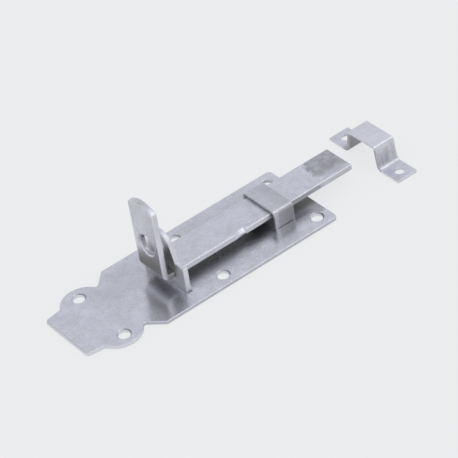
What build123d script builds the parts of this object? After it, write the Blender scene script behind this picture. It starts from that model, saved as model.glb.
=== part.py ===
from build123d import *
from math import acos, atan2, cos, hypot, pi, radians, sin, sqrt, tan
import os

# Flat slide bolt for a padlock, with its loose keeper.
# +X is the way the bolt is thrown, +Y is across the plate, +Z stands off the plate's back face.
# The origin is on the back face, in the middle of the four holes of the plate's rectangle.
# All sizes are in millimetres.

# Base plate
plate_width = 44.0
plate_thickness = 1.5
plate_front_corner = 2.0
row_pitch = 48.4
front_margin = 6.1
rect_length = 86.9
screw_hole = 5.0
screw_hole_edge = 0.5
screw_margin = 6.0
shoulder_corner = 0.8
neck_angle = 45.0
neck_fillet = 1.2
lobe_run = 16.0
lobe_out = 11.1
lobe_radius = 10.0
lobe_screw_out = 4.1
tail_run = 17.1
waist_width = 30.5
waist_fillet = 1.2
tail_width = 28.2
tail_corner = 1.6
plate_edge = 0.2
back_edge = 0.15

# Bolt, a flat bar turned up into the handle
bar_length = 94.6
bar_width = 15.6
bar_thickness = 2.5
bar_lift = 4.4
bar_edge = 0.25
handle_bend = 1.2
handle_height = 41.9
handle_arch = 13.5
handle_hole = 8.8
handle_hole_z = 21.2
handle_hole_roll = 0.9
handle_hole_edge = 0.2
nib_place = 39.0
nib_length = 6.4
nib_width = 1.6
nib_turn = 40.0

# Lug, the upright staple that the bar runs through
lug_x = -39.65
lug_thickness = 2.3
lug_leg = 6.05
lug_bridge = 4.5
lug_head_width = 18.4
lug_head_radius = 7.6
lug_head_rise = 4.1
lug_eye = 6.4
lug_eye_rise = 1.4
lug_notch = 0.6
lug_edge = 0.25
lug_tenon = 5.5
window_side_gap = 0.35
window_top_gap = 0.2
window_sill_gap = 0.1
handle_gap = 3.2

# Guide, the strap over the bar
guide_x = 12.8
guide_length = 9.8
guide_thickness = 1.4
guide_side_gap = 1.1
guide_top_gap = 0.1
guide_bend = 0.6
guide_edge = 0.2
guide_tenon = 7.0

# Slots in the plate for the tenons of the lug and the guide
slot_gap = 0.1
slot_flare = 0.4
lug_slot_run = 0.7
guide_slot_run = 0.15

# Keeper, the loose strap that takes the bolt's tip
keeper_gap = 11.0
keeper_y = -1.1
keeper_length = 10.4
keeper_width = 43.6
keeper_thickness = 1.0
keeper_side_gap = 0.17
keeper_top_gap = 2.0
keeper_lean = 7.2
keeper_top_bend = 0.4
keeper_foot_bend = 2.2
keeper_hole = 4.3
keeper_hole_margin = 4.9
keeper_corner = 0.5
keeper_edge = 0.15

# How far a cut runs past the face it opens
cut_over = 1.0

# Places worked out from the sizes above
front_x = row_pitch / 2 + front_margin
shoulder_x = front_x - rect_length
lobe_x = shoulder_x - lobe_run
tail_x = lobe_x - tail_run
lug_back_x = lug_x - lug_thickness / 2
lug_front_x = lug_x + lug_thickness / 2
handle_front_x = lug_back_x - handle_gap
handle_back_x = handle_front_x - bar_thickness
bar_tip_x = handle_front_x + bar_length
nib_end_x = handle_front_x + nib_place
nib_start_x = nib_end_x - nib_length
bar_half = bar_width / 2
bar_bottom = plate_thickness + bar_lift
bar_top = bar_bottom + bar_thickness
window_half = bar_half + window_side_gap
window_top = bar_top + window_top_gap
lug_half = window_half + lug_leg
lug_shoulder_z = window_top + lug_bridge
lug_head_z = lug_shoulder_z + lug_head_rise
lug_eye_z = lug_head_z + lug_eye_rise
guide_inner = bar_half + guide_side_gap
guide_half = guide_inner + guide_thickness
guide_under = bar_top + guide_top_gap
guide_start_x = guide_x - guide_length / 2
keeper_start_x = bar_tip_x + keeper_gap
keeper_under = bar_top + keeper_top_gap


def solid_of(shape):
    return shape.solids()[0]


def block(x, y, z):
    """Box from its limits along each axis."""
    limits = [sorted(pair) for pair in (x, y, z)]
    middle = [(low + high) / 2 for low, high in limits]
    return Pos(*middle) * Box(*[high - low for low, high in limits])


def across(points, x=0.0):
    """Closed face across the bolt at one x, from its (y, z) corners."""
    return make_face(Polyline([Vector(x, y, z) for y, z in points], close=True))


def rounded(face, corners):
    """Round the face's vertex nearest each (place, radius) corner."""
    for place, radius in corners:
        vertex = face.vertices().sort_by_distance(Vector(*place))[0]
        face = fillet(vertex, radius)
    return face


def along_x(face, start, end):
    return Pos(start, 0, 0) * extrude(face, end - start, dir=(1, 0, 0))


def both_sides(half):
    """The half on +Y joined to its mirror image on -Y."""
    return half + mirror(half, Plane.XZ)


def drill_x(start, end, z, radius):
    depth = end - start + 2 * cut_over
    return Pos((start + end) / 2, 0, z) * Rot(0, 90, 0) * Cylinder(radius, depth)


def drill_z(x, y, thickness, radius):
    return Pos(x, y, thickness / 2) * Cylinder(radius, thickness + 2 * cut_over)


def in_plane(edge, axis, value, tol=1e-3):
    """True if the whole edge has the given coordinate along one axis."""
    box = edge.bounding_box()
    return all(abs(getattr(corner, axis) - value) < tol for corner in (box.min, box.max))


def edges_at(shape, axis, value):
    return [edge for edge in shape.edges() if in_plane(edge, axis, value)]


def rims_of(shape, radius, tol=1e-3):
    """Full circles of the given radius among the shape's edges."""
    circles = shape.edges().filter_by(GeomType.CIRCLE)
    return [edge for edge in circles if abs(edge.length - 2 * pi * radius) < tol]


def plate_outline():
    """Rectangle, neck, two round lobes and a tapered tail, with its corners rounded."""
    half = plate_width / 2
    slope = radians(neck_angle)
    # Where the neck's slope runs into the lobe's circle
    ax, ay = shoulder_x - lobe_x, half - lobe_out
    along = ax * cos(slope) + ay * sin(slope)
    reach = along - sqrt(along ** 2 - (ax ** 2 + ay ** 2 - lobe_radius ** 2))
    neck = (shoulder_x - reach * cos(slope), half - reach * sin(slope))
    # Where the tail's side leaves the lobe's circle
    waist_y = waist_width / 2
    waist = (lobe_x - sqrt(lobe_radius ** 2 - (waist_y - lobe_out) ** 2), waist_y)
    crown = (lobe_x, lobe_out + lobe_radius)
    tail = (tail_x, tail_width / 2)
    shoulder = (shoulder_x, half)
    front = (front_x, half)
    upper = make_face([
        Line((tail_x, 0), tail), Line(tail, waist), ThreePointArc(waist, crown, neck),
        Line(neck, shoulder), Line(shoulder, front), Line(front, (front_x, 0)), Line((front_x, 0), (tail_x, 0)),
    ])
    corners = (
        (tail, tail_corner), (waist, waist_fillet), (neck, neck_fillet),
        (shoulder, shoulder_corner), (front, plate_front_corner),
    )
    return both_sides(rounded(upper, [((x, y, 0), radius) for (x, y), radius in corners])).face()


def screw_places():
    row_y, lobe_y = plate_width / 2 - screw_margin, lobe_out + lobe_screw_out
    rows = [(lobe_x, lobe_y), (-row_pitch / 2, row_y), (row_pitch / 2, row_y)]
    return [(x, side * y) for x, y in rows for side in (-1, 1)]


def flared(x, y):
    """Tenon's head or its seat in the plate: the limits given, spread at the back face."""
    wide = [(low - slot_flare, high + slot_flare) for low, high in (sorted(x), sorted(y))]
    faces = []
    for (x_low, x_high), (y_low, y_high), z in ((*wide, 0), (sorted(x), sorted(y), slot_flare)):
        corners = [(x_low, y_low), (x_high, y_low), (x_high, y_high), (x_low, y_high)]
        faces.append(make_face([Polyline([(*corner, z) for corner in corners], close=True)]))
    return loft(faces, ruled=True)


def tenon(x, y, top):
    """Tenon on +Y and its mirror image, spread at the back face like a rivet."""
    return both_sides(block(x, y, (0, top)) + flared(x, y))


def tenon_slots():
    """The slots on the +Y side, each as its x limits and y limits."""
    lug_span = (lug_half - lug_tenon - slot_gap, lug_half + lug_slot_run)
    guide_span = (guide_inner - slot_gap, guide_half + guide_slot_run)
    guide_reach = guide_tenon / 2 + slot_gap
    return [
        ((lug_back_x - slot_gap, lug_front_x + slot_gap), lug_span),
        ((guide_x - guide_reach, guide_x + guide_reach), guide_span),
    ]


def make_plate():
    plate = extrude(plate_outline(), plate_thickness)
    plate = chamfer(edges_at(plate, "Z", plate_thickness), plate_edge)
    plate = chamfer(edges_at(plate, "Z", 0), back_edge)
    for x, y in screw_places():
        plate -= drill_z(x, y, plate_thickness, screw_hole / 2)
    rims = [edge for edge in rims_of(plate, screw_hole / 2) if in_plane(edge, "Z", plate_thickness)]
    plate = chamfer(rims, screw_hole_edge)
    for x_limits, y_limits in tenon_slots():
        for side in (-1, 1):
            span = [side * y for y in y_limits]
            plate -= block(x_limits, span, (-cut_over, plate_thickness + cut_over)) + flared(x_limits, span)
    return solid_of(plate)


def bolt_blank():
    """Bar and handle, bent from one flat with a round top, with rounded edges."""
    path = [
        (bar_tip_x, bar_bottom), (handle_back_x, bar_bottom), (handle_back_x, handle_height),
        (handle_front_x, handle_height), (handle_front_x, bar_top), (bar_tip_x, bar_top),
    ]
    side = make_face(Polyline([Vector(x, 0, z) for x, z in path], close=True))
    side = rounded(side, [
        ((handle_back_x, 0, bar_bottom), handle_bend + bar_thickness),
        ((handle_front_x, 0, bar_top), handle_bend),
    ])
    shoulder = handle_height - handle_arch + sqrt(handle_arch ** 2 - bar_half ** 2)
    flat = make_face([
        ThreePointArc((0, -bar_half, shoulder), (0, 0, handle_height), (0, bar_half, shoulder)),
        Polyline((0, bar_half, shoulder), (0, bar_half, 0), (0, -bar_half, 0), (0, -bar_half, shoulder)),
    ])
    blank = extrude(side, bar_half, both=True) & along_x(flat, handle_back_x, bar_tip_x)
    arches = [
        edge for edge in blank.edges().filter_by(GeomType.CIRCLE)
        if in_plane(edge, "X", handle_front_x) or in_plane(edge, "X", handle_back_x)
    ]
    ends = (("Y", bar_half), ("Y", -bar_half), ("X", bar_tip_x))
    rim = [edge for edge in blank.edges() if any(in_plane(edge, axis, value) for axis, value in ends)]
    return fillet(rim + arches, bar_edge)


def nib_section(x, turn):
    """Section of the strip, turned down about the middle of its root."""
    inner, middle = nib_width - bar_half, (bar_bottom + bar_top) / 2
    run, drop = nib_width * cos(turn), nib_width * sin(turn)
    lean, rise = bar_thickness / 2 * sin(turn), bar_thickness / 2 * cos(turn)
    outer_top = (inner - run - lean, middle - drop + rise)
    outer_bottom = (inner - run + lean, middle - drop - rise)
    return across([(inner, bar_bottom), (inner, bar_top), outer_top, outer_bottom], x)


def make_bolt():
    bolt = bolt_blank() - drill_x(handle_back_x, handle_front_x, handle_hole_z, handle_hole / 2)
    # The hole was punched from the outer side, which rolled its rim there
    outer_rim, inner_rim = [
        [edge for edge in rims_of(bolt, handle_hole / 2) if in_plane(edge, "X", x)] for x in (handle_back_x, handle_front_x)
    ]
    bolt = chamfer(inner_rim, handle_hole_edge)
    bolt = fillet(outer_rim, handle_hole_roll)
    # The stop is a strip of the bar's edge, sheared at one end and bent down
    cut_y = (-bar_half - cut_over, nib_width - bar_half)
    bolt -= block((nib_start_x, nib_end_x), cut_y, (bar_bottom - cut_over, bar_top + cut_over))
    nib = loft([nib_section(nib_start_x, 0), nib_section(nib_end_x, radians(nib_turn))], ruled=True)
    return solid_of(bolt + nib)


def make_guide():
    top, end_x = guide_under + guide_thickness, guide_start_x + guide_length
    half = across([
        (0, top), (guide_half, top), (guide_half, plate_thickness),
        (guide_inner, plate_thickness), (guide_inner, guide_under), (0, guide_under),
    ])
    half = rounded(half, [
        ((0, guide_half, top), guide_bend + guide_thickness),
        ((0, guide_inner, guide_under), guide_bend),
    ])
    strap = both_sides(along_x(half, guide_start_x, end_x))
    ends = edges_at(strap, "X", guide_start_x) + edges_at(strap, "X", end_x)
    strap = chamfer(ends + edges_at(strap, "Z", plate_thickness), guide_edge)
    tenon_x = (guide_x - guide_tenon / 2, guide_x + guide_tenon / 2)
    return solid_of(strap + tenon(tenon_x, (guide_inner, guide_half), plate_thickness + guide_edge))


def make_lug():
    root = lug_head_width / 2
    # The head's straight flank leaves its round top here
    drop = lug_shoulder_z - lug_head_z
    turn = atan2(drop, root) + acos(lug_head_radius / hypot(root, drop))
    touch = (0, lug_head_radius * cos(turn), lug_head_z + lug_head_radius * sin(turn))
    middle = (pi / 2 + turn) / 2
    crest = (0, lug_head_radius * cos(middle), lug_head_z + lug_head_radius * sin(middle))
    top = (0, 0, lug_head_z + lug_head_radius)
    half = make_face([
        ThreePointArc(top, crest, touch),
        Polyline(
            touch, (0, root, lug_shoulder_z), (0, lug_half, lug_shoulder_z),
            (0, lug_half, plate_thickness), (0, 0, plate_thickness), top,
        ),
    ])
    half = rounded(half, [((0, root, lug_shoulder_z), lug_notch)])
    lug = both_sides(along_x(half, lug_back_x, lug_front_x))
    for x in (lug_back_x, lug_front_x):
        lug = chamfer(edges_at(lug, "X", x), lug_edge)
    window_x = (lug_back_x - cut_over, lug_front_x + cut_over)
    lug -= block(window_x, (-window_half, window_half), (bar_bottom - window_sill_gap, window_top))
    lug -= drill_x(lug_back_x, lug_front_x, lug_eye_z, lug_eye / 2)
    tenon_y = (lug_half - lug_tenon, lug_half)
    return solid_of(lug + tenon((lug_back_x, lug_front_x), tenon_y, plate_thickness + lug_edge))


def make_keeper():
    """Top strap, leaning legs and flat feet of one bent strip, with the bolt's room inside."""
    slope = tan(radians(keeper_lean))
    skin = keeper_thickness / cos(radians(keeper_lean))
    top, end = keeper_under + keeper_thickness, keeper_width / 2

    def inside(z):
        """Half the inner width at a height, so that the bar's top edges pass."""
        return bar_half + keeper_side_gap + (bar_top - z) * slope

    inner_top, inner_foot = (inside(keeper_under), keeper_under), (inside(0), 0)
    outer_top, outer_foot = (inside(top) + skin, top), (inside(keeper_thickness) + skin, keeper_thickness)
    half = across([
        (0, top), outer_top, outer_foot, (end, keeper_thickness),
        (end, 0), inner_foot, inner_top, (0, keeper_under),
    ])
    half = rounded(half, [
        ((0, *outer_top), keeper_top_bend + keeper_thickness), ((0, *inner_top), keeper_top_bend),
        ((0, *inner_foot), keeper_foot_bend + keeper_thickness), ((0, *outer_foot), keeper_foot_bend),
    ])
    strap = both_sides(along_x(half, 0, keeper_length))
    corners = [edge for y in (-end, end) for edge in edges_at(strap, "Y", y) if edge.length < 2 * keeper_thickness]
    strap = fillet(corners, keeper_corner)
    strap = chamfer([edge for x in (0, keeper_length) for edge in edges_at(strap, "X", x)], keeper_edge)
    for side in (-1, 1):
        y = side * (end - keeper_hole_margin)
        strap -= drill_z(keeper_length / 2, y, keeper_thickness, keeper_hole / 2)
    return Pos(keeper_start_x, keeper_y, 0) * solid_of(strap)


def main():
    nodes = {
        "base_plate": make_plate(),
        "bolt": make_bolt(),
        "lug": make_lug(),
        "guide": make_guide(),
        "keeper": make_keeper(),
    }
    os.makedirs("parts", exist_ok=True)
    for name, solid in nodes.items():
        export_step(solid, f"parts/{name}.step")


main()
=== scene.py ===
import math

import bpy
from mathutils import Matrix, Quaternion, Vector

# Places and distances are in metres, in the part's own frame: +X is the way the bolt is thrown, +Y
# is across the plate and +Z stands off its back face. Colours are linear.

# The photograph's camera. Azimuth and elevation say where it stands, seen from what it aims at.
CAMERA_AIM = (-0.0049, 0.0045, 0.0015)
CAMERA_DISTANCE = 1.010
CAMERA_AZIMUTH = math.radians(-32.37)
CAMERA_ELEVATION = math.radians(38.60)
CAMERA_ROLL = math.radians(-9.67)
CAMERA_LENS = 197.5
SENSOR_WIDTH = 36.0
CLIP_START = 0.01
CLIP_END = 100.0

# The studio.
BACKGROUND = (0.838, 0.846, 0.862, 1.0)
# What the metal mirrors of the background.
MIRRORED = (0.715, 0.725, 0.785, 1.0)
FILL_LIGHT = (1.0, 1.0, 1.0, 1.0)
FILL_STRENGTH = 0.92
FLOOR_SIZE = 60.0
FLOOR_LEVEL = -0.0002
FLOOR_COLOUR = (0.84, 0.845, 0.86, 1.0)
# How much of the floor's look is its own even colour, to the camera and in metal. The rest takes
# shade.
FLOOR_EVEN_SEEN = 0.86
FLOOR_EVEN_MIRRORED = 0.45

# The cards that the metal mirrors.
DARK_CARD = (0.145, 0.134, 0.095, 1.0)
GREY_CARD = (0.55, 0.55, 0.56, 1.0)

# The zinc plating: clean, and dulled.
ZINC = (0.755, 0.761, 0.815, 1.0)
ZINC_DULL = (0.645, 0.651, 0.692, 1.0)
# Over a face that the shears left, darker or lighter; on the plate and the bolt the lighter one is
# painted light.
ZINC_SHEARED = (0.57, 0.575, 0.615, 1.0)
ZINC_SHEARED_LIGHTER = (0.88, 0.88, 0.91, 1.0)
# Bright, for edges rubbed bright and painted as highlights, and for painted light and pale marks;
# dark, for pits, grime and painted shade; and a warm dark for painted shade under and between
# parts.
ZINC_BRIGHT = (0.95, 0.95, 0.97, 1.0)
ZINC_GRIME_AND_SHADE = (0.365, 0.363, 0.362, 1.0)
ZINC_SHADED = (0.38, 0.37, 0.335, 1.0)

# The plating's mottle: noises of three sizes, each with its weight.
MOTTLE = (
    (dict(scale=80.0, detail=4.0, roughness=0.65, distortion=0.6), 0.4),
    (dict(scale=380.0, detail=3.0, roughness=0.65, distortion=0.3), 0.32),
    (dict(scale=1300.0, detail=1.0), 0.28),
)
MOTTLE_CLEAN = dict(start=0.41, end=0.58)
# Small dark pits.
PITS = dict(scale=800.0, detail=1.0)
PITS_DARK = dict(start=0.68, end=0.76, at_start=0.0, at_end=0.25)
# How squarely a face has to look along an axis to count as one along it, and how far the colour of
# a sheared face turns to that of the plating over it.
FACING = dict(start=0.6, end=0.8)
SHEARED_SHARE = 0.75
# How alike a rounded edge's normal and the true one are where its wear and painted highlight start
# and where they are full, and how far such an edge's colour turns bright.
EDGE_WEAR_AND_HIGHLIGHT = dict(start=0.99, end=0.91)
WEAR_AND_HIGHLIGHT_SHARE = 0.85
ROUNDING_SAMPLES = 6
# Each piece says how rough its flats are. They are less rough by the spread where they are clean,
# and more where they are dull. The other faces are as rough as these.
MOTTLE_ROUGH = dict(start=0.4, end=0.6)
ROUGH_SPREAD = 0.03
ROUGH_SHEARED = 0.5
ROUGH_WORN = 0.2
ROUGH_PALE = 0.5
# Slow waves of the rolled sheet, and its fine grain.
WAVES = dict(scale=160.0, detail=1.5)
WAVE_HEIGHT = 0.0001
GRAIN = dict(scale=2200.0, detail=2.0)
GRAIN_HEIGHT = 0.000002

# Heights that tell the top of the plate and of the bar from what is below them.
ABOVE_PLATE = 0.0010
ABOVE_BAR = 0.0079


def toward(azimuth, elevation):
    """The unit vector from the object to a place at that azimuth and elevation, in radians."""
    level = math.cos(elevation)
    return Vector((math.sin(azimuth) * level, -math.cos(azimuth) * level, math.sin(elevation)))


def facing(away):
    """The turn that makes something at the end of this vector look back along it."""
    return away.to_track_quat("Z", "Y")


def add_object(name, data):
    thing = bpy.data.objects.new(name, data)
    bpy.context.scene.collection.objects.link(thing)
    return thing


def add_camera():
    data = bpy.data.cameras.new("camera")
    data.sensor_width = SENSOR_WIDTH
    data.lens = CAMERA_LENS
    data.clip_start = CLIP_START
    data.clip_end = CLIP_END
    camera = add_object("camera", data)
    away = toward(CAMERA_AZIMUTH, CAMERA_ELEVATION)
    camera.location = Vector(CAMERA_AIM) + away * CAMERA_DISTANCE
    camera.rotation_mode = "QUATERNION"
    camera.rotation_quaternion = facing(away) @ Quaternion((0.0, 0.0, 1.0), CAMERA_ROLL)
    bpy.context.scene.camera = camera


class Nodes:
    """A node tree with short ways to add a node and to link sockets.

    A value is a socket or a number. A place is a socket that gives coordinates.
    """

    def __init__(self, tree):
        self.tree = tree
        tree.nodes.clear()

    def add(self, kind, inputs=None, **settings):
        node = self.tree.nodes.new(kind)
        for name, value in settings.items():
            setattr(node, name, value)
        for name, value in (inputs or {}).items():
            self.put(value, node.inputs[name])
        return node

    def put(self, value, socket):
        if isinstance(value, bpy.types.NodeSocket):
            self.tree.links.new(value, socket)
        else:
            socket.default_value = value

    def maths(self, operation, a, b=0.0):
        return self.add("ShaderNodeMath", {0: a, 1: b}, operation=operation).outputs[0]

    def chain(self, operation, values):
        result = values[0]
        for value in values[1:]:
            result = self.maths(operation, result, value)
        return result

    def total(self, *values):
        return self.chain("ADD", values)

    def product(self, *values):
        return self.chain("MULTIPLY", values)

    def most(self, *values):
        return self.chain("MAXIMUM", values)

    def ramp(self, value, start, end, at_start=0.0, at_end=1.0):
        """Goes smoothly from at_start to at_end while the value goes from start to end."""
        inputs = {
            "Value": value, "From Min": start, "From Max": end,
            "To Min": at_start, "To Max": at_end,
        }
        return self.add("ShaderNodeMapRange", inputs, interpolation_type="SMOOTHSTEP").outputs[0]

    def noise(self, place, scale, detail=2.0, roughness=0.5, distortion=0.0):
        inputs = {
            "Vector": place, "Scale": scale, "Detail": detail,
            "Roughness": roughness, "Distortion": distortion,
        }
        return self.add("ShaderNodeTexNoise", inputs).outputs["Fac"]

    def stretched(self, place, scale=(1.0, 1.0, 1.0), shift=(0.0, 0.0, 0.0)):
        inputs = {"Vector": place, "Scale": scale, "Location": shift}
        return self.add("ShaderNodeMapping", inputs).outputs[0]

    def parts_of(self, vector):
        return self.add("ShaderNodeSeparateXYZ", {0: vector}).outputs

    def distance(self, place, point):
        inputs = {0: place, 1: point}
        return self.add("ShaderNodeVectorMath", inputs, operation="DISTANCE").outputs["Value"]

    def mix(self, share, a, b):
        """Colour a with this share of colour b."""
        inputs = {"Factor": share, 6: a, 7: b}
        return self.add("ShaderNodeMix", inputs, data_type="RGBA").outputs[2]

    def blend(self, share, a, b):
        """Value a with this share of value b."""
        inputs = {"Factor": share, 2: a, 3: b}
        return self.add("ShaderNodeMix", inputs, data_type="FLOAT").outputs[0]

    def bump(self, height, distance, normal):
        inputs = {"Strength": 1.0, "Distance": distance, "Height": height, "Normal": normal}
        return self.add("ShaderNodeBump", inputs).outputs[0]

    def patch(self, place, soft, share=1.0, x=(None, None), y=(None, None), z=(None, None)):
        """The share inside these limits and 0 outside, fading over the soft distance to both sides.

        A limit of None leaves its side open.
        """
        factors = [share]
        for value, (low, high) in zip(self.parts_of(place), (x, y, z)):
            if low is not None:
                factors.append(self.ramp(value, low - soft, low + soft))
            if high is not None:
                factors.append(self.ramp(value, high + soft, high - soft))
        return self.product(*factors)

    def fade(self, place, axis, **ends):
        """A ramp along one axis."""
        return self.ramp(self.parts_of(place)[axis], **ends)

    def above(self, place, height):
        return self.maths("GREATER_THAN", self.parts_of(place)["Z"], height)


def new_material(name):
    material = bpy.data.materials.new(name)
    material.use_nodes = True
    return material, Nodes(material.node_tree)


def mirrored_rays(nodes):
    """1 for rays that show the background in metal and through glass."""
    path = nodes.add("ShaderNodeLightPath").outputs
    return nodes.most(path["Is Glossy Ray"], path["Is Transmission Ray"])


def camera_rays(nodes):
    return nodes.add("ShaderNodeLightPath").outputs["Is Camera Ray"]


def backdrop_colour(nodes):
    return nodes.mix(mirrored_rays(nodes), BACKGROUND, MIRRORED)


def make_world():
    """Fill light from all round, with the background's colour where it is seen or mirrored."""
    world = bpy.data.worlds.new("studio")
    world.use_nodes = True
    nodes = Nodes(world.node_tree)
    seen = nodes.most(camera_rays(nodes), mirrored_rays(nodes))
    fill = nodes.add("ShaderNodeBackground", {"Color": FILL_LIGHT, "Strength": FILL_STRENGTH})
    shown = nodes.add("ShaderNodeBackground", {"Color": backdrop_colour(nodes), "Strength": 1.0})
    both = nodes.add("ShaderNodeMixShader", {0: seen, 1: fill.outputs[0], 2: shown.outputs[0]})
    nodes.add("ShaderNodeOutputWorld", {"Surface": both.outputs[0]})
    bpy.context.scene.world = world


def floor_material():
    """Pale, with part of its colour kept out of the shade, and clear from below."""
    material, nodes = new_material("floor")
    lit = nodes.add("ShaderNodeBsdfDiffuse", {"Color": FLOOR_COLOUR})
    even = nodes.add("ShaderNodeEmission", {"Color": backdrop_colour(nodes), "Strength": 1.0})
    share = nodes.most(
        nodes.product(camera_rays(nodes), FLOOR_EVEN_SEEN),
        nodes.product(mirrored_rays(nodes), FLOOR_EVEN_MIRRORED),
    )
    pale = nodes.add("ShaderNodeMixShader", {0: share, 1: lit.outputs[0], 2: even.outputs[0]})
    clear = nodes.add("ShaderNodeBsdfTransparent")
    below = nodes.add("ShaderNodeNewGeometry").outputs["Backfacing"]
    both = nodes.add("ShaderNodeMixShader", {0: below, 1: pale.outputs[0], 2: clear.outputs[0]})
    nodes.add("ShaderNodeOutputMaterial", {"Surface": both.outputs[0]})
    return material


def add_rectangle(name, width, height, middle, turn, material):
    """A stage piece of one face, which looks along its own +Z."""
    corners = [(-1, -1), (1, -1), (1, 1), (-1, 1)]
    places = [middle + turn @ Vector((x * width / 2, y * height / 2, 0.0)) for x, y in corners]
    mesh = bpy.data.meshes.new(name)
    mesh.from_pydata(places, [], [(0, 1, 2, 3)])
    mesh.materials.append(material)
    piece = add_object(name, mesh)
    return piece


def add_floor():
    middle = Vector((0.0, 0.0, FLOOR_LEVEL))
    add_rectangle("floor", FLOOR_SIZE, FLOOR_SIZE, middle, Quaternion(), floor_material())


def add_softbox(name, azimuth, elevation, distance, side, radiance):
    """A square lamp that looks at the object. radiance is how bright its face is: 1 is white."""
    data = bpy.data.lights.new(name, "AREA")
    data.shape = "SQUARE"
    data.size = side
    data.energy = radiance * math.pi * side * side
    lamp = add_object(name, data)
    away = toward(math.radians(azimuth), math.radians(elevation))
    lamp.location = away * distance
    lamp.rotation_mode = "QUATERNION"
    lamp.rotation_quaternion = facing(away)


def add_card(name, colour, azimuth, elevation, distance, width, height):
    """A card that only the metal mirrors: it isn't seen, and gives and stops no light."""
    material, nodes = new_material(name)
    face = nodes.add("ShaderNodeEmission", {"Color": colour, "Strength": 1.0})
    nodes.add("ShaderNodeOutputMaterial", {"Surface": face.outputs[0]})
    away = toward(math.radians(azimuth), math.radians(elevation))
    card = add_rectangle(name, width, height, away * distance, facing(away), material)
    card.visible_camera = False
    card.visible_shadow = False
    card.visible_diffuse = False


def sheared_faces(nodes, normal, axis):
    """1 on the faces that the shears left: those along X or Y, or for Z all those around it."""
    along = nodes.ramp(nodes.maths("ABSOLUTE", nodes.parts_of(normal)[axis]), **FACING)
    return nodes.maths("SUBTRACT", 1.0, along) if axis == "Z" else along


def worn_and_highlit_edge(nodes, bent):
    """1 along the edges, where the bent normal turns away from the flats, and 0 on the flats."""
    flat = nodes.add("ShaderNodeNewGeometry").outputs["True Normal"]
    inputs = {0: bent, 1: flat}
    agree = nodes.add("ShaderNodeVectorMath", inputs, operation="DOT_PRODUCT").outputs["Value"]
    return nodes.ramp(agree, **EDGE_WEAR_AND_HIGHLIGHT)


def zinc(name, sheared, shift, rough, rounding, fresh=None, shaded=None, grime=None, pale=None):
    """Rolled zinc-plated steel with rougher sheared faces, and edges rounded, rubbed bright and
    painted brighter as highlights.

    sheared is the axis that sheared_faces takes. shift moves the mottle along X, so that no two
    pieces share it. rough is for the flats, and rounding is how far the edges look rounded. The
    last four are functions of the nodes and the place that say where a tone lies: a lighter colour
    on the cut sides, painted shade, grime with painted shade, and pale tones that are mostly
    painted light. A piece that lacks a tone leaves it out.
    """
    material, nodes = new_material(name)
    spot = nodes.add("ShaderNodeTexCoord").outputs
    here = spot["Object"]
    place = nodes.stretched(here, shift=(shift, 0.0, 0.0))
    sizes = [nodes.product(nodes.noise(place, **size), weight) for size, weight in MOTTLE]
    mottle = nodes.total(*sizes)
    cut = sheared_faces(nodes, spot["Normal"], sheared)
    inputs = {"Radius": rounding}
    bent = nodes.add("ShaderNodeBevel", inputs, samples=ROUNDING_SAMPLES).outputs[0]
    worn_and_highlit = worn_and_highlit_edge(nodes, bent)

    colour = nodes.mix(nodes.ramp(mottle, **MOTTLE_CLEAN), ZINC_DULL, ZINC)
    colour = nodes.mix(nodes.ramp(nodes.noise(place, **PITS), **PITS_DARK), colour, ZINC_GRIME_AND_SHADE)
    # Cut sides turn lighter by the given share: painted light on the plate and the bolt, one even
    # tone on the lug and the keeper.
    cut_colour = nodes.mix(fresh(nodes, here), ZINC_SHEARED, ZINC_SHEARED_LIGHTER) if fresh else ZINC_SHEARED
    colour = nodes.mix(nodes.product(cut, SHEARED_SHARE), colour, cut_colour)
    # Painted shade under and between parts and in the eyes.
    if shaded:
        colour = nodes.mix(shaded(nodes, here), colour, ZINC_SHADED)
    # Grime, and painted shade, where the piece says.
    if grime:
        colour = nodes.mix(grime(nodes, here), colour, ZINC_GRIME_AND_SHADE)
    # Edges rubbed bright, and painted brighter as highlights.
    colour = nodes.mix(nodes.product(worn_and_highlit, WEAR_AND_HIGHLIGHT_SHARE), colour, ZINC_BRIGHT)

    spread = dict(at_start=rough + ROUGH_SPREAD, at_end=rough - ROUGH_SPREAD)
    roughness = nodes.ramp(mottle, **MOTTLE_ROUGH, **spread)
    roughness = nodes.blend(cut, roughness, ROUGH_SHEARED)
    roughness = nodes.blend(worn_and_highlit, roughness, ROUGH_WORN)
    # Pale tones, mostly painted light.
    if pale:
        paled = pale(nodes, here)
        colour = nodes.mix(paled, colour, ZINC_BRIGHT)
        roughness = nodes.blend(paled, roughness, ROUGH_PALE)

    waves = nodes.bump(nodes.noise(place, **WAVES), WAVE_HEIGHT, bent)
    surface = nodes.bump(nodes.noise(place, **GRAIN), GRAIN_HEIGHT, waves)
    inputs = {"Base Color": colour, "Metallic": 1.0, "Roughness": roughness, "Normal": surface}
    shader = nodes.add("ShaderNodeBsdfPrincipled", inputs)
    nodes.add("ShaderNodeOutputMaterial", {"Surface": shader.outputs[0]})
    return material


def evenly(share):
    """The same share of a tone all over a piece."""
    return lambda nodes, place: share


def eye_wall(nodes, place, height, reach):
    """1 in a padlock eye that runs along X with its middle at this height."""
    _, y, z = nodes.parts_of(place)
    across = nodes.add("ShaderNodeCombineXYZ", {0: y, 1: z}).outputs[0]
    return nodes.maths("LESS_THAN", nodes.distance(across, (0.0, height, 0.0)), reach)


# The middles of the screw holes with painted light on their walls and painted shade on their rims,
# which are all but the far one beside the guide, and how far from the middle a hole's wall and its
# cut rim reach.
SCREW_MIDDLES = (
    (-0.0726, -0.0152), (-0.0726, 0.0152), (-0.0242, -0.016), (-0.0242, 0.016), (0.0242, -0.016),
)
SCREW_WALL = 0.00255
SCREW_RIM = 0.0030
RIM_FADE = 0.0002
# From the side of a hole that is nearer the tail to the side that is nearer the bolt's tip.
RIM_SIDES = dict(start=0.2, end=0.8, at_start=0.2, at_end=1.0)

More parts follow.
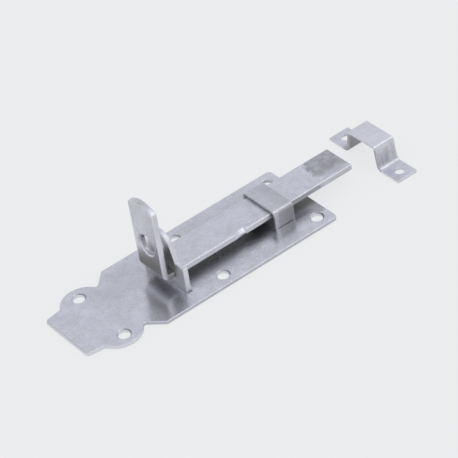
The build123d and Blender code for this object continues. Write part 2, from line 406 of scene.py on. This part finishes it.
# On the plate, painted shade: a dark strip under the bar's near side and a faint dark cloud behind
# the bar and the handle; and painted light: a pale strip beside the dark one.
PLATE_DARK_STRIP = dict(soft=0.0016, share=0.9, x=(-0.0385, None), y=(-0.0082, -0.0020))
PLATE_BEHIND_BAR = dict(soft=0.004, x=(-0.0600, 0.0100), y=(0.0020, 0.0190))
PLATE_BEHIND_HANDLE = dict(soft=0.005, x=(-0.0680, -0.0540), y=(0.0010, 0.0150))
PLATE_CLOUD_SHARE = 0.23
PLATE_PALE_STRIP = dict(soft=0.0020, share=0.35, x=(-0.0370, 0.0070), y=(-0.0130, -0.0090))
# Painted light on the plate's cut sides, only at the tail end.
PLATE_CUT_PAINTED_LIGHT = dict(start=-0.070, end=-0.060, at_start=1.0, at_end=0.0)


def screw_gaps(nodes, place):
    """Each screw hole's distance to the place, and how far that lies toward +X, from -1 to 1."""
    x, y, _ = nodes.parts_of(place)
    gaps = []
    for middle_x, middle_y in SCREW_MIDDLES:
        away_x = nodes.maths("SUBTRACT", x, middle_x)
        away_y = nodes.maths("SUBTRACT", y, middle_y)
        away = nodes.add("ShaderNodeCombineXYZ", {0: away_x, 1: away_y}).outputs[0]
        gap = nodes.add("ShaderNodeVectorMath", {0: away}, operation="LENGTH").outputs["Value"]
        gaps.append((gap, nodes.maths("DIVIDE", away_x, gap)))
    return gaps


def screw_walls(nodes, place):
    """1 on the walls of the plate's screw holes."""
    gaps = screw_gaps(nodes, place)
    return nodes.total(*(nodes.maths("LESS_THAN", gap, SCREW_WALL) for gap, _ in gaps))


def screw_rims(nodes, place):
    """Painted shade: the cut rims are dark where they face the tail."""
    rims = []
    for gap, side in screw_gaps(nodes, place):
        past_wall = nodes.maths("GREATER_THAN", gap, SCREW_WALL)
        in_rim = nodes.ramp(gap, SCREW_RIM + RIM_FADE, SCREW_RIM)
        rims.append(nodes.product(past_wall, in_rim, nodes.ramp(side, **RIM_SIDES)))
    return nodes.total(*rims)


# Painted shade on the plate: the screw rims, a strip under the bar, and a cloud behind it.
def plate_grime(nodes, place):
    behind = nodes.most(
        nodes.patch(place, **PLATE_BEHIND_BAR), nodes.patch(place, **PLATE_BEHIND_HANDLE),
    )
    dark = nodes.most(
        nodes.patch(place, **PLATE_DARK_STRIP), nodes.product(behind, PLATE_CLOUD_SHARE),
    )
    return nodes.most(
        screw_rims(nodes, place), nodes.product(dark, nodes.above(place, ABOVE_PLATE)),
    )


# Painted light on the plate: the screw-hole walls and a strip beside the bar's near side.
def plate_painted_light(nodes, place):
    strip = nodes.product(
        nodes.patch(place, **PLATE_PALE_STRIP), nodes.above(place, ABOVE_PLATE),
    )
    return nodes.most(screw_walls(nodes, place), strip)


def plate_fresh(nodes, place):
    """Painted light: the cut sides are painted brightest at the tail."""
    return nodes.fade(place, "X", **PLATE_CUT_PAINTED_LIGHT)


# On the bolt: painted shade on its underside, less along the near edge, which is painted pale as
# light.
BAR_UNDERSIDE = dict(soft=0.0001, x=(-0.0440, None), z=(None, 0.0060))
UNDERSIDE_SHADED = dict(start=-0.0060, end=0.0, at_start=0.25, at_end=0.8)
UNDERSIDE_PALE = dict(start=-0.0050, end=0.0, at_start=0.6, at_end=0.0)
# Painted shade also lies in the gap between handle and lug, on the handle's outside low down, and
# in its eye.
HANDLE_GAP = dict(soft=0.001, share=0.9, x=(-0.0445, -0.0400), z=(None, 0.0195))
HANDLE_OUTSIDE = dict(soft=0.0001, share=0.4, x=(None, -0.0463))
HANDLE_LOW = dict(start=0.0190, end=0.0110)
HANDLE_EYE = dict(height=0.0212, reach=0.0045)
HANDLE_EYE_SHARE = 0.5
# Painted shade darkens the bar's near side past the guide, and the handle's top is a little darker.
BAR_NEAR_SIDE = dict(
    soft=0.0003, share=0.6, x=(0.0170, 0.0340), y=(None, -0.0072), z=(None, 0.0082),
)
HANDLE_TOP = dict(soft=0.004, share=0.15, z=(0.0290, None))
# The round smear on top of the bolt's tip, how far it reaches and fades, and its ragged border.
SMEAR_MIDDLE = (0.0480, 0.0005, 0.0084)
SMEAR_REACH = 0.0130
SMEAR_OUTWARD = 0.0006
SMEAR_INWARD = 0.0020
SMEAR_RAGGED = dict(scale=500.0, detail=3.0, roughness=0.6)
SMEAR_RAGGED_BY = dict(start=0.3, end=0.7, at_start=-0.0012, at_end=0.0012)
# It is patchy inside, clear along the bar's near edge, and has a thin pale arc around it.
SMEAR_PATCHY = dict(scale=300.0, detail=4.0, roughness=0.6)
SMEAR_PATCHY_BY = dict(start=0.3, end=0.65, at_start=0.45, at_end=0.9)
SMEAR_EDGE = dict(start=-0.0075, end=-0.0015)
SMEAR_ARC_WIDTH = 0.0010
SMEAR_ARC_SHARE = 0.3
# Painted light on the bolt's cut sides, full toward the handle and fading to little toward the tip.
BOLT_CUT_PAINTED_LIGHT = dict(start=0.0, end=0.020, at_start=1.0, at_end=0.1)


def from_smear(nodes, place):
    """How far the place is from the middle of the smear, unevenly."""
    ragged = nodes.ramp(nodes.noise(place, **SMEAR_RAGGED), **SMEAR_RAGGED_BY)
    return nodes.total(nodes.distance(place, SMEAR_MIDDLE), ragged)


# Painted shade on the bolt: its underside, the gap before the lug, the handle low down and its eye.
def bolt_shaded(nodes, place):
    under = nodes.patch(place, **BAR_UNDERSIDE)
    outside = nodes.patch(place, **HANDLE_OUTSIDE)
    return nodes.most(
        nodes.product(under, nodes.fade(place, "Y", **UNDERSIDE_SHADED)),
        nodes.patch(place, **HANDLE_GAP),
        nodes.product(eye_wall(nodes, place, **HANDLE_EYE), HANDLE_EYE_SHARE),
        nodes.product(outside, nodes.fade(place, "Z", **HANDLE_LOW)),
    )


# Painted light along the underside's near edge, and the pale arc round the smear.
def bolt_painted_light_and_arc(nodes, place):
    near = nodes.product(
        nodes.patch(place, **BAR_UNDERSIDE), nodes.fade(place, "Y", **UNDERSIDE_PALE),
    )
    away = from_smear(nodes, place)
    crest = SMEAR_REACH + SMEAR_OUTWARD
    rise = nodes.ramp(away, SMEAR_REACH, crest)
    fall = nodes.ramp(away, crest + SMEAR_ARC_WIDTH, crest)
    return nodes.most(near, nodes.product(rise, fall, SMEAR_ARC_SHARE))


# The smear on the tip, painted shade on the bar's near side past the guide, and a darker handle
# top.
def bolt_grime(nodes, place):
    away = from_smear(nodes, place)
    smear = nodes.product(
        nodes.ramp(away, SMEAR_REACH + SMEAR_OUTWARD, SMEAR_REACH - SMEAR_INWARD),
        nodes.fade(place, "Y", **SMEAR_EDGE),
        nodes.above(place, ABOVE_BAR),
        nodes.ramp(nodes.noise(place, **SMEAR_PATCHY), **SMEAR_PATCHY_BY),
    )
    return nodes.most(nodes.patch(place, **BAR_NEAR_SIDE), smear, nodes.patch(place, **HANDLE_TOP))


def bolt_fresh(nodes, place):
    """Painted light: the cut sides are painted brightest at the handle's end."""
    return nodes.fade(place, "X", **BOLT_CUT_PAINTED_LIGHT)


# On the lug: painted shade in its eye, and it is a little pale all over.
LUG_EYE = dict(height=0.0186, reach=0.0033)
LUG_PALE_SHARE = 0.3


# Painted shade in the lug's eye.
def lug_shaded(nodes, place):
    return eye_wall(nodes, place, **LUG_EYE)


# On the guide, painted shade: a dark patch on the near leg, darkest at the end towards the tip, and
# one on the top at that end; and a little grime all over the rest.
GUIDE_LEG = dict(soft=0.001, x=(0.0095, None), y=(None, -0.0090), z=(0.0, 0.0090))
GUIDE_LEG_END = dict(start=0.0090, end=0.0165, at_start=0.65, at_end=1.0)
GUIDE_TOP = dict(
    soft=0.004, share=0.35, x=(0.0130, 0.0200), y=(-0.0120, 0.0060), z=(0.0090, None),
)
GUIDE_GRIME_SHARE = 0.22


# Painted shade on the guide's near leg and top, over a little grime all over.
def guide_grime(nodes, place):
    leg = nodes.product(
        nodes.patch(place, **GUIDE_LEG), nodes.fade(place, "X", **GUIDE_LEG_END),
    )
    return nodes.most(leg, nodes.total(GUIDE_GRIME_SHARE, nodes.patch(place, **GUIDE_TOP)))


# On the keeper: painted shade on the far leg, the legs' cut sides darker, and grime in streaks down
# the near leg.
KEEPER_FAR_LEG = dict(soft=0.002, share=0.85, y=(0.0040, 0.0110), z=(None, 0.0092))
KEEPER_SIDES = dict(
    soft=0.0001, share=0.8, x=(None, 0.0618), y=(-0.0125, 0.0110), z=(None, 0.0100),
)
KEEPER_NEAR_LEG = dict(soft=0.001, y=(None, -0.0070), z=(0.0020, 0.0090))
STREAKS_STRETCH = (900.0, 60.0, 60.0)
STREAKS = dict(scale=1.0, detail=3.0)
STREAKS_DARK = dict(start=0.4, end=0.65, at_start=0.05, at_end=0.38)
# Painted light: its top is painted lighter than its legs, and so is the cut side of its near foot.
KEEPER_TOP = dict(start=0.0098, end=0.0108, at_start=0.0, at_end=0.3)
KEEPER_FOOT_SIDE = dict(
    soft=0.0001, share=0.8, x=(None, 0.0618), y=(None, -0.0125), z=(None, 0.0013),
)


# Painted shade on the far leg, darker cut sides, and grime streaks on the near leg.
def keeper_grime(nodes, place):
    streaks = nodes.noise(nodes.stretched(place, STREAKS_STRETCH), **STREAKS)
    near_leg = nodes.patch(place, **KEEPER_NEAR_LEG)
    return nodes.most(
        nodes.patch(place, **KEEPER_FAR_LEG),
        nodes.patch(place, **KEEPER_SIDES),
        nodes.product(near_leg, nodes.ramp(streaks, **STREAKS_DARK)),
    )


# Painted light on the keeper's top and on the cut side of its near foot.
def keeper_painted_light(nodes, place):
    return nodes.most(nodes.fade(place, "Z", **KEEPER_TOP), nodes.patch(place, **KEEPER_FOOT_SIDE))


def dress(node, **finish):
    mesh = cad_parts[node].data
    mesh.materials.clear()
    mesh.materials.append(zinc(node + "_zinc", **finish))


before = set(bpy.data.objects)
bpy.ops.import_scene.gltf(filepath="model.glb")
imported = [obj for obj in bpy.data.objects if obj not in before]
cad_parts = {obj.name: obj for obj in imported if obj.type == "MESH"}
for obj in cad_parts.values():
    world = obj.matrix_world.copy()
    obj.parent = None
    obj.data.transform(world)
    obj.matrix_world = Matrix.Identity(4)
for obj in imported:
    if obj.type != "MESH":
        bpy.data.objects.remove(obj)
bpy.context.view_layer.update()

add_camera()
make_world()
add_floor()
# The lamp stands high on the near side, towards the bolt's tip. The grey card is mirrored by the
# near sides, and the dark one by the handle's outside and the plate together.
add_softbox("top_softbox", azimuth=57.1, elevation=60.0, distance=1.3, side=0.7, radiance=0.9)
add_card("grey_card", GREY_CARD, azimuth=26.0, elevation=14.0, distance=0.9, width=0.9, height=0.5)
add_card("dark_card", DARK_CARD, azimuth=212.4, elevation=38.6, distance=0.9, width=0.5, height=0.4)

dress(
    "base_plate", sheared="Z", shift=0.0, rough=0.25, rounding=0.0004,
    fresh=plate_fresh, grime=plate_grime, pale=plate_painted_light,
)
dress(
    "bolt", sheared="Y", shift=0.3, rough=0.36, rounding=0.0009,
    fresh=bolt_fresh, shaded=bolt_shaded, grime=bolt_grime, pale=bolt_painted_light_and_arc,
)
dress(
    "lug", sheared="Y", shift=0.6, rough=0.45, rounding=0.0005,
    fresh=evenly(1.0), shaded=lug_shaded, pale=evenly(LUG_PALE_SHARE),
)
dress("guide", sheared="X", shift=0.9, rough=0.40, rounding=0.0006, grime=guide_grime)
dress(
    "keeper", sheared="X", shift=1.2, rough=0.42, rounding=0.0003,
    fresh=evenly(1.0), grime=keeper_grime, pale=keeper_painted_light,
)

bpy.context.scene.view_settings.view_transform = "Standard"
